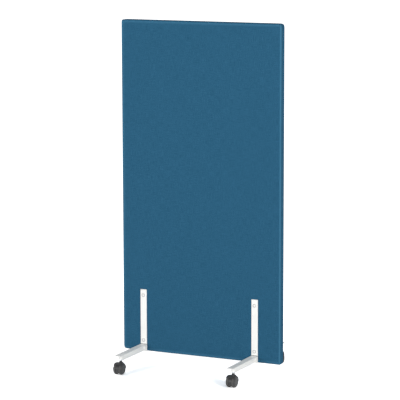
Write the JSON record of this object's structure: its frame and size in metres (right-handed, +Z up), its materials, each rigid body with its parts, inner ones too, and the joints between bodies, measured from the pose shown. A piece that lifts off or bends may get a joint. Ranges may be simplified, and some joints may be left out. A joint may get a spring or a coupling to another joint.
{
  "type": "rolling partition",
  "caption": "Upholstered upright panel on welded T-section foot brackets, bolted through its face, with swivelling twin-wheel casters.",
  "frame": {"origin": "on the floor under the middle of the panel", "axes": "+Z up, -Y out of the face that carries the bolt heads, +X to the right of that face"},
  "size_m": [0.75, 0.554, 1.505],
  "materials": {
    "cloth": "matte",
    "foam": "matte",
    "absorber": "matte",
    "timber": "matte",
    "white_steel": "satin",
    "bolt_steel": "satin",
    "zinc": "satin",
    "housing_plastic": "satin",
    "wheel_plastic": "satin"
  },
  "bodies": {
    "root": {"fabric_cover": "cloth", "foam_front": "foam", "foam_rear": "foam", "absorber_core": "absorber", "top_rail": "timber", "bottom_rail": "timber", "left_stile": "timber", "right_stile": "timber", "left_fixing_board": "timber", "right_fixing_board": "timber", "frame_screws": "zinc", "connector_bolts": "bolt_steel", "sleeve_nuts": "bolt_steel", "retaining_rings": "zinc", "front_left_upright": "white_steel", "front_left_foot": "white_steel", "front_left_boss": "white_steel", "front_left_stem": "zinc", "front_right_upright": "white_steel", "front_right_foot": "white_steel", "front_right_boss": "white_steel", "front_right_stem": "zinc", "rear_left_upright": "white_steel", "rear_left_foot": "white_steel", "rear_left_boss": "white_steel", "rear_left_stem": "zinc", "rear_right_upright": "white_steel", "rear_right_foot": "white_steel", "rear_right_boss": "white_steel", "rear_right_stem": "zinc"},
    "front_left_caster": {"front_left_housing": "housing_plastic", "front_left_axle": "zinc"},
    "front_left_roller_l": {"front_left_wheel_l": "wheel_plastic", "front_left_cap_l": "housing_plastic"},
    "front_left_roller_r": {"front_left_wheel_r": "wheel_plastic", "front_left_cap_r": "housing_plastic"},
    "front_right_caster": {"front_right_housing": "housing_plastic", "front_right_axle": "zinc"},
    "front_right_roller_l": {"front_right_wheel_l": "wheel_plastic", "front_right_cap_l": "housing_plastic"},
    "front_right_roller_r": {"front_right_wheel_r": "wheel_plastic", "front_right_cap_r": "housing_plastic"},
    "rear_left_caster": {"rear_left_housing": "housing_plastic", "rear_left_axle": "zinc"},
    "rear_left_roller_l": {"rear_left_wheel_l": "wheel_plastic", "rear_left_cap_l": "housing_plastic"},
    "rear_left_roller_r": {"rear_left_wheel_r": "wheel_plastic", "rear_left_cap_r": "housing_plastic"},
    "rear_right_caster": {"rear_right_housing": "housing_plastic", "rear_right_axle": "zinc"},
    "rear_right_roller_l": {"rear_right_wheel_l": "wheel_plastic", "rear_right_cap_l": "housing_plastic"},
    "rear_right_roller_r": {"rear_right_wheel_r": "wheel_plastic", "rear_right_cap_r": "housing_plastic"}
  },
  "joints": [
    {"name": "front_left_swivel", "type": "hinge", "parent": "root", "child": "front_left_caster", "pos_m": [-0.273, -0.241, 0.05], "axis": [0, 0, 1], "continuous": true},
    {"name": "front_left_roll_l", "type": "hinge", "parent": "front_left_caster", "child": "front_left_roller_l", "pos_m": [-0.273, -0.255, 0.025], "axis": [1, 0, 0], "continuous": true},
    {"name": "front_left_roll_r", "type": "hinge", "parent": "front_left_caster", "child": "front_left_roller_r", "pos_m": [-0.273, -0.255, 0.025], "axis": [1, 0, 0], "continuous": true},
    {"name": "front_right_swivel", "type": "hinge", "parent": "root", "child": "front_right_caster", "pos_m": [0.258, -0.241, 0.05], "axis": [0, 0, 1], "continuous": true},
    {"name": "front_right_roll_l", "type": "hinge", "parent": "front_right_caster", "child": "front_right_roller_l", "pos_m": [0.258, -0.255, 0.025], "axis": [1, 0, 0], "continuous": true},
    {"name": "front_right_roll_r", "type": "hinge", "parent": "front_right_caster", "child": "front_right_roller_r", "pos_m": [0.258, -0.255, 0.025], "axis": [1, 0, 0], "continuous": true},
    {"name": "rear_left_swivel", "type": "hinge", "parent": "root", "child": "rear_left_caster", "pos_m": [-0.273, 0.241, 0.05], "axis": [0, 0, 1], "continuous": true},
    {"name": "rear_left_roll_l", "type": "hinge", "parent": "rear_left_caster", "child": "rear_left_roller_l", "pos_m": [-0.26579, 0.229, 0.025], "axis": [0.8572, 0.515, 0], "continuous": true},
    {"name": "rear_left_roll_r", "type": "hinge", "parent": "rear_left_caster", "child": "rear_left_roller_r", "pos_m": [-0.26579, 0.229, 0.025], "axis": [0.8572, 0.515, 0], "continuous": true},
    {"name": "rear_right_swivel", "type": "hinge", "parent": "root", "child": "rear_right_caster", "pos_m": [0.258, 0.241, 0.05], "axis": [0, 0, 1], "continuous": true},
    {"name": "rear_right_roll_l", "type": "hinge", "parent": "rear_right_caster", "child": "rear_right_roller_l", "pos_m": [0.26521, 0.229, 0.025], "axis": [0.8572, 0.515, 0], "continuous": true},
    {"name": "rear_right_roll_r", "type": "hinge", "parent": "rear_right_caster", "child": "rear_right_roller_r", "pos_m": [0.26521, 0.229, 0.025], "axis": [0.8572, 0.515, 0], "continuous": true}
  ]
}
